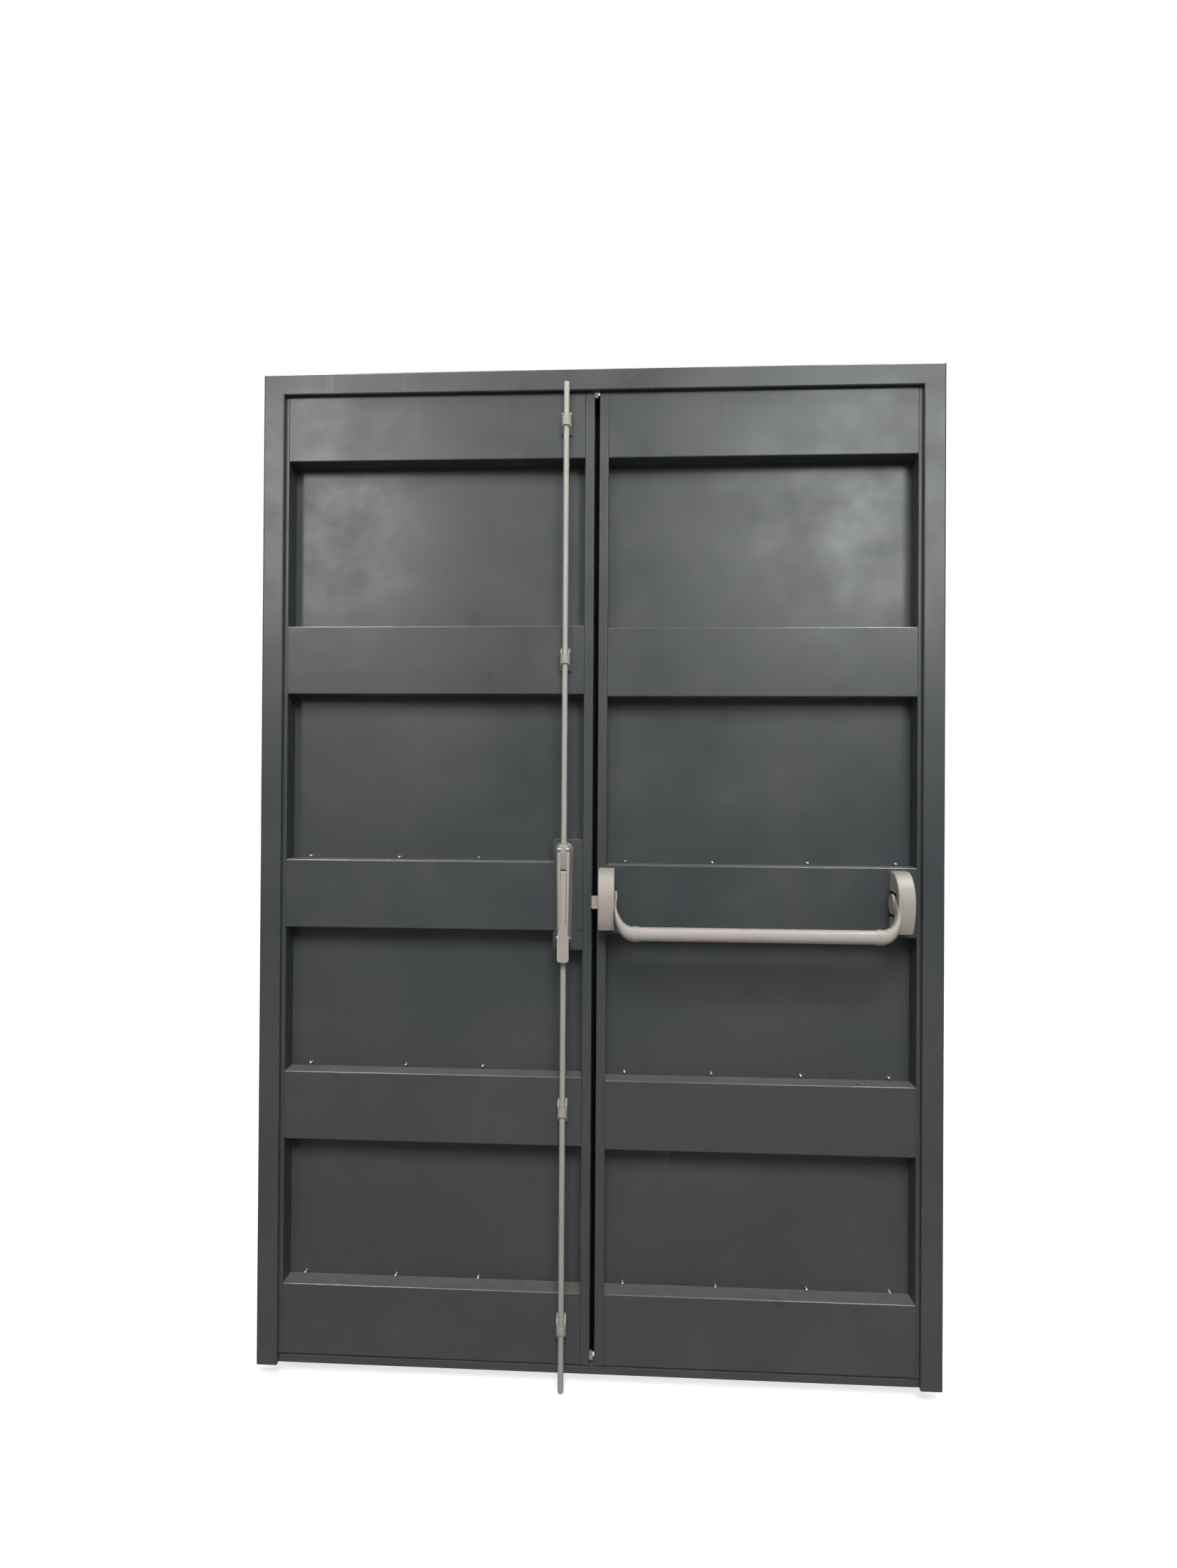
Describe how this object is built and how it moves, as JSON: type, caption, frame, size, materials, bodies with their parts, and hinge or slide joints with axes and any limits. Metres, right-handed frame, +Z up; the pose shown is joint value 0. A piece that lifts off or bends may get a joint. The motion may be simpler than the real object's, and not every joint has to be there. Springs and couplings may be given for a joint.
{
  "type": "steel double fire exit door",
  "caption": "Steel double escape door in a pressed frame, with ribbed inside faces, a lever bolt on one leaf and a push bar with latch on the other.",
  "frame": {"origin": "under the middle of the sill, on its flat underside", "axes": "+Z up, +X to the right seen from inside, +Y outwards, the way the leaves open"},
  "size_m": [1.42, 0.181, 2.125],
  "materials": {
    "painted_steel": "satin anthracite powder coat",
    "hinge_steel": "satin anthracite powder coat",
    "silver_casting": "silver paint on a casting",
    "silver_tube": "silver paint on tube and rod",
    "zinc_latch": "zinc plated",
    "grey_block": "moulded plastic"
  },
  "bodies": {
    "frame": {"jamb_left": "painted_steel", "jamb_right": "painted_steel", "head": "painted_steel", "sill": "painted_steel", "frame_hinges_left": "hinge_steel", "frame_hinges_right": "hinge_steel"},
    "left_leaf": {"left_skin": "painted_steel", "left_hinge_stile": "painted_steel", "left_lock_stile": "painted_steel", "left_top_rail": "painted_steel", "left_upper_rail": "painted_steel", "left_lock_rail": "painted_steel", "left_lower_rail": "painted_steel", "left_bottom_rail": "painted_steel", "left_leaf_hinges": "hinge_steel", "gap_blocks": "grey_block", "bolt_infills": "painted_steel", "bolt_case": "silver_casting", "rod_guide_top": "silver_casting", "rod_guide_upper": "silver_casting", "rod_guide_lower": "silver_casting", "rod_guide_bottom": "silver_casting", "guide_spacers": "painted_steel"},
    "bolt_lever": {"bolt_lever": "silver_casting"},
    "top_rod": {"top_rod": "silver_tube"},
    "bottom_rod": {"bottom_rod": "silver_tube"},
    "right_leaf": {"right_skin": "painted_steel", "right_hinge_stile": "painted_steel", "right_lock_stile": "painted_steel", "right_top_rail": "painted_steel", "right_upper_rail": "painted_steel", "right_lock_rail": "painted_steel", "right_lower_rail": "painted_steel", "right_bottom_rail": "painted_steel", "right_leaf_hinges": "hinge_steel", "cover_strip": "painted_steel", "latch_housing": "silver_casting", "pivot_housing": "silver_casting"},
    "push_bar": {"push_bar_tube": "silver_tube", "push_arm_left": "silver_casting", "push_arm_right": "silver_casting"},
    "latch": {"latch_bolt": "zinc_latch"}
  },
  "joints": [
    {"name": "right_leaf_swing", "type": "hinge", "parent": "frame", "child": "right_leaf", "pos_m": [0.68125, 0.0425, 0], "axis": [0, 0, -1], "range_deg": [0, 110]},
    {"name": "left_leaf_swing", "type": "hinge", "parent": "frame", "child": "left_leaf", "pos_m": [-0.68125, 0.0425, 0], "axis": [0, 0, 1], "range_deg": [0, 110]},
    {"name": "push_bar_press", "type": "hinge", "parent": "right_leaf", "child": "push_bar", "pos_m": [0.32125, -0.052, 0.99], "axis": [1, 0, 0], "range_deg": [0, 25], "stiffness_Nm_per_rad": 6, "springref_deg": -20.05},
    {"name": "latch_slide", "type": "slide", "parent": "right_leaf", "child": "latch", "axis": [1, 0, 0], "range_m": [0, 0.0135]},
    {"name": "bolt_lever_lift", "type": "hinge", "parent": "left_leaf", "child": "bolt_lever", "pos_m": [-0.066, -0.0555, 1.0445], "axis": [-1, 0, 0], "range_deg": [0, 150]},
    {"name": "top_rod_slide", "type": "slide", "parent": "left_leaf", "child": "top_rod", "axis": [0, 0, -1], "range_m": [0, 0.06]},
    {"name": "bottom_rod_slide", "type": "slide", "parent": "left_leaf", "child": "bottom_rod", "axis": [0, 0, 1], "range_m": [0, 0.06]}
  ],
  "couplings": [
    {"joint": "latch_slide", "follows": "push_bar_press", "m_per_rad": 0.0298},
    {"joint": "top_rod_slide", "follows": "bolt_lever_lift", "m_per_rad": 0.0229},
    {"joint": "bottom_rod_slide", "follows": "bolt_lever_lift", "m_per_rad": 0.0229}
  ]
}
